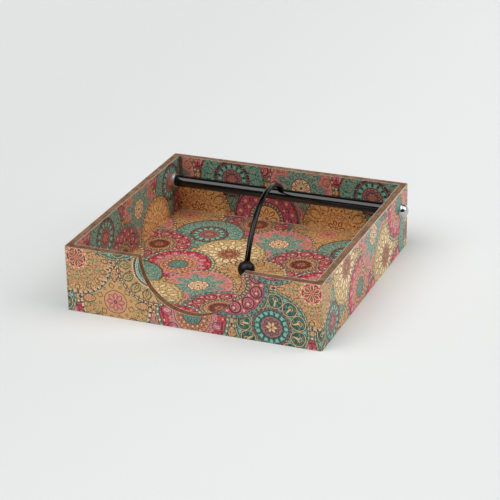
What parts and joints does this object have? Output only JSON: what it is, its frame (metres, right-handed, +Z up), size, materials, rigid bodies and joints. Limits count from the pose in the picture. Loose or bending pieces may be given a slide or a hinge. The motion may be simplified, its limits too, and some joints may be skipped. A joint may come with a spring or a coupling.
{
  "type": "napkin tray",
  "caption": "Open square tray for folded napkins, with a half-round scoop in its front wall and a hinged wire arm whose ball weight rests on the stack.",
  "frame": {"origin": "centre of the tray's underside", "axes": "+Z up, -Y towards the scoop in the front wall, +X to the right along the rod"},
  "size_m": [0.2108, 0.195, 0.0525],
  "materials": {
    "mdf": "raw medium density fibreboard, sawn edge",
    "printed_paper_outside": "laminated printed paper, satin",
    "printed_paper_inside": "laminated printed paper, satin",
    "printed_paper_floor": "laminated printed paper, satin",
    "base_paper": "plain kraft paper",
    "brad_steel": "bright wire",
    "bush_metal": "turned, satin",
    "rod_black": "gloss black enamel",
    "wire_black": "satin black enamel",
    "ball_black": "satin black enamel",
    "polished_chrome": "polished chrome plate"
  },
  "bodies": {
    "root": {"floor_panel": "mdf", "front_wall": "mdf", "back_wall": "mdf", "left_wall": "mdf", "right_wall": "mdf", "base_paper": "base_paper", "front_wrap": "printed_paper_outside", "back_wrap": "printed_paper_outside", "left_wrap": "printed_paper_outside", "right_wrap": "printed_paper_outside", "front_liner": "printed_paper_inside", "back_liner": "printed_paper_inside", "left_liner": "printed_paper_inside", "right_liner": "printed_paper_inside", "floor_liner": "printed_paper_floor", "corner_brads": "brad_steel", "floor_brads": "brad_steel", "axle_bushes": "bush_metal"},
    "arm": {"rod": "rod_black", "wire_arm": "wire_black", "weight_ball": "ball_black", "axle_screws": "polished_chrome"}
  },
  "joints": [
    {"name": "arm_swing", "type": "hinge", "parent": "root", "child": "arm", "pos_m": [0, 0.081, 0.034], "axis": [-1, 0, 0], "range_deg": [0, 72]}
  ]
}
